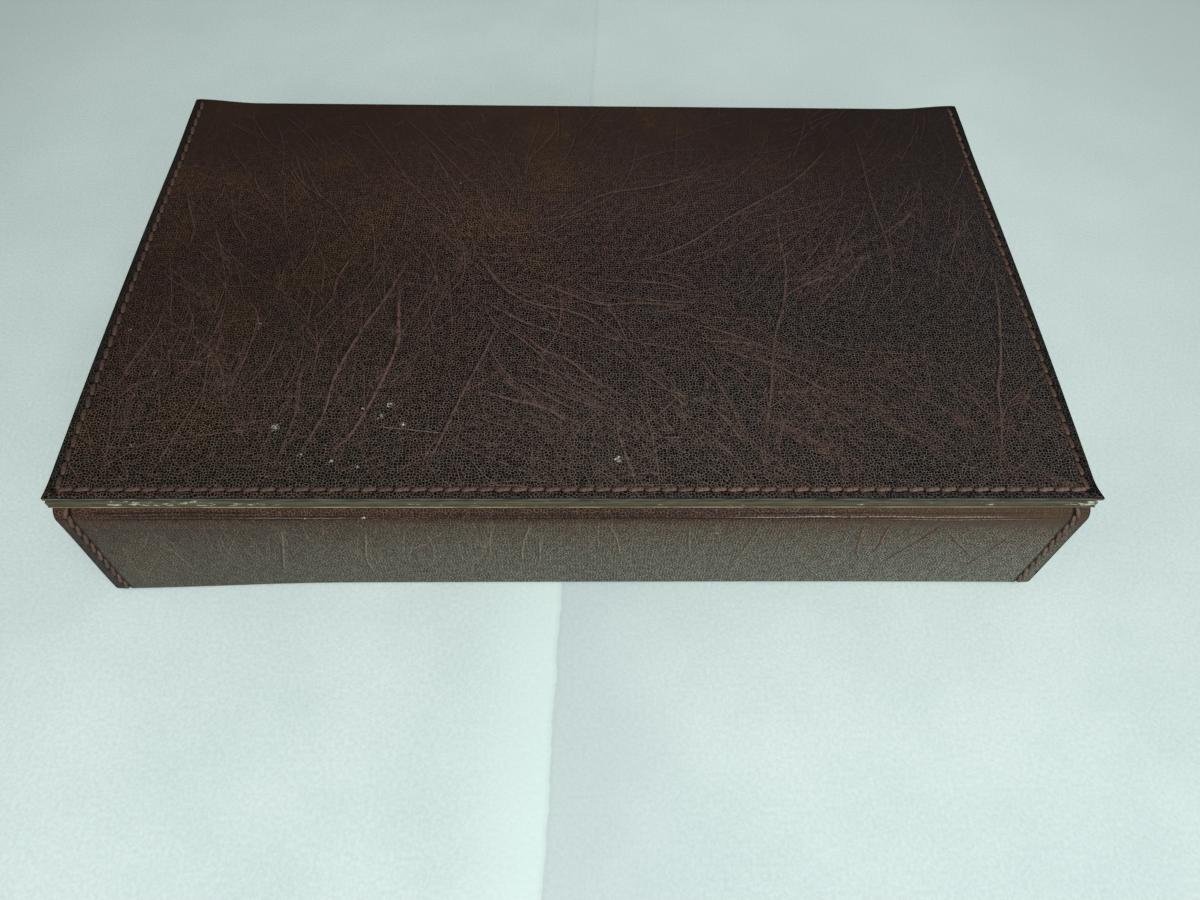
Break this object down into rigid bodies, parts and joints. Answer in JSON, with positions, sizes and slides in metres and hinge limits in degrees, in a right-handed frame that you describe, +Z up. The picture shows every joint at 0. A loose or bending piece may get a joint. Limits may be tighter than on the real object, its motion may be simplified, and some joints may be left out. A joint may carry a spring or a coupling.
{
  "type": "stationery box",
  "caption": "Flat rectangular leather box for letters and papers, with stitched edges, rolled wall tops, and a lid on a leather hinge.",
  "frame": {"origin": "on the table, under the middle of the closed box", "axes": "+X from side to side, +Y from the front wall to the hinge, +Z up"},
  "size_m": [0.32, 0.197, 0.0563],
  "materials": {
    "outer_leather": "dark brown smooth hide with growth creases, semi-matt",
    "edge_board": "stiff leather core with a worn dark painted edge",
    "wall_board": "matt grey-brown board",
    "lining_leather": "thin tan lining leather, matt",
    "thread": "waxed reddish-brown thread"
  },
  "bodies": {
    "box": {"body_cover": "outer_leather", "left_side_cover": "outer_leather", "right_side_cover": "outer_leather", "front_board": "wall_board", "base_board": "wall_board", "back_board": "wall_board", "left_side_board": "wall_board", "right_side_board": "wall_board", "front_lining": "lining_leather", "back_lining": "lining_leather", "left_side_lining": "lining_leather", "right_side_lining": "lining_leather", "floor_lining": "lining_leather", "left_seam_stitches": "thread", "right_seam_stitches": "thread"},
    "lid": {"lid_cover": "outer_leather", "lid_board": "edge_board", "lid_lining": "lining_leather", "lid_front_stitches": "thread", "lid_left_stitches": "thread", "lid_right_stitches": "thread"}
  },
  "joints": [
    {"name": "lid_hinge", "type": "hinge", "parent": "box", "child": "lid", "pos_m": [0, 0.0985, 0.0511], "axis": [-1, 0, 0], "range_deg": [0, 180]}
  ]
}
